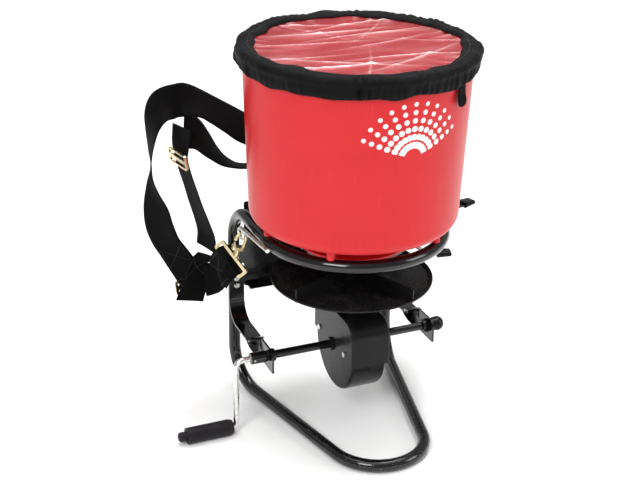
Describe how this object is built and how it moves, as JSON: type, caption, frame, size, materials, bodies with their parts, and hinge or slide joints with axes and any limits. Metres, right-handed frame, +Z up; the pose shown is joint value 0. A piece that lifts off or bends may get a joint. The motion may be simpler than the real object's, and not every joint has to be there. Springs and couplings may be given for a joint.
{
  "type": "handheld broadcast spreader",
  "caption": "Hand-crank broadcast spreader: round hopper on a bent tube frame, geared impeller underneath, side crank, rain cover and shoulder harness.",
  "frame": {"origin": "on the floor, under the vertical axis of the hopper and impeller", "axes": "+Z up, -Y to the front away from the operator, -X to the crank side"},
  "size_m": [0.5222, 0.368, 0.5955],
  "materials": {
    "black_paint": "gloss black powder coat",
    "zinc": "bright zinc plate",
    "steel": "plain steel",
    "red_poly": "semi-gloss moulded",
    "black_plastic": "semi-gloss moulded",
    "nylon": "satin",
    "grip_rubber": "ribbed matt",
    "webbing": "woven polypropylene",
    "cover_cloth": "woven nylon",
    "clear_vinyl": "clear, wrinkled",
    "gear_plastic": "satin acetal"
  },
  "bodies": {
    "frame": {"hoop_tube": "black_paint", "base_tube": "black_paint", "post_spigots": "steel", "brace_left": "black_paint", "brace_right": "black_paint", "brace_bolts": "zinc", "rear_shield": "black_paint", "shield_screws": "zinc", "strap_loop_left": "black_paint", "strap_loop_right": "black_paint", "hopper": "red_poly", "bottom_plate": "black_paint", "guide_rivets": "steel", "plate_screws": "zinc", "hopper_bush": "nylon", "gearbox_case": "black_plastic", "gearbox_cover": "black_plastic", "shaft_bush": "nylon", "case_bush_left": "black_plastic", "case_bush_right": "black_plastic", "gearbox_screws": "zinc", "axle_bush_left": "black_plastic", "axle_bush_right": "black_plastic", "snap_hook_left": "zinc", "snap_hook_right": "zinc", "webbing_bar_left": "zinc", "webbing_bar_right": "zinc", "strap_shoulder": "webbing", "strap_waist": "webbing", "strap_lead": "webbing", "strap_drop": "webbing", "strap_tail": "webbing", "top_slider": "zinc", "bottom_slider": "zinc"},
    "crank": {"crank_axle": "black_paint", "crown_gear": "gear_plastic", "axle_collar_left": "black_paint", "axle_collar_right": "black_paint", "crank_sleeve": "black_paint", "crank_arm": "zinc", "crank_pin": "steel", "grip_nut": "grip_rubber", "axle_cap": "black_plastic"},
    "grip": {"crank_grip": "grip_rubber"},
    "impeller": {"impeller": "black_plastic", "drive_shaft": "steel", "impeller_pin": "steel", "agitator": "steel", "pinion": "gear_plastic"},
    "rate_lever": {"rate_plate": "black_paint", "rate_knob": "black_plastic"},
    "shutoff_lever": {"shutoff_plate": "black_paint", "shutoff_knob": "black_plastic"},
    "cover": {"cover_band": "cover_cloth", "cover_panel": "clear_vinyl", "cover_tab": "cover_cloth"},
    "gate_left": {"hook_gate_left": "zinc"},
    "gate_right": {"hook_gate_right": "zinc"}
  },
  "joints": [
    {"name": "crank_spin", "type": "hinge", "parent": "frame", "child": "crank", "pos_m": [0, 0, 0.125], "axis": [1, 0, 0], "continuous": true},
    {"name": "grip_spin", "type": "hinge", "parent": "crank", "child": "grip", "pos_m": [-0.2, 0, 0.013], "axis": [1, 0, 0], "continuous": true},
    {"name": "impeller_spin", "type": "hinge", "parent": "frame", "child": "impeller", "pos_m": [0, 0, 0.2345], "axis": [0, 0, 1], "continuous": true},
    {"name": "rate_turn", "type": "hinge", "parent": "frame", "child": "rate_lever", "pos_m": [0, 0, 0.294], "axis": [0, 0, 1], "range_deg": [-18, 0]},
    {"name": "shutoff_turn", "type": "hinge", "parent": "frame", "child": "shutoff_lever", "pos_m": [0, 0, 0.292], "axis": [0, 0, 1], "range_deg": [0, 20]},
    {"name": "cover_lift", "type": "slide", "parent": "frame", "child": "cover", "axis": [0, 0, 1], "range_m": [0, 0.15]},
    {"name": "gate_left_open", "type": "hinge", "parent": "frame", "child": "gate_left", "pos_m": [-0.16572, 0.05669, 0.28861], "axis": [-0.0872, 0.9962, 0], "range_deg": [0, 20], "stiffness_Nm_per_rad": 0.004},
    {"name": "gate_right_open", "type": "hinge", "parent": "frame", "child": "gate_right", "pos_m": [0.15191, 0.07243, 0.32295], "axis": [-0.0668, -0.7631, 0.6428], "range_deg": [0, 20], "stiffness_Nm_per_rad": 0.004}
  ],
  "couplings": [
    {"joint": "impeller_spin", "follows": "crank_spin", "ratio": -4}
  ]
}
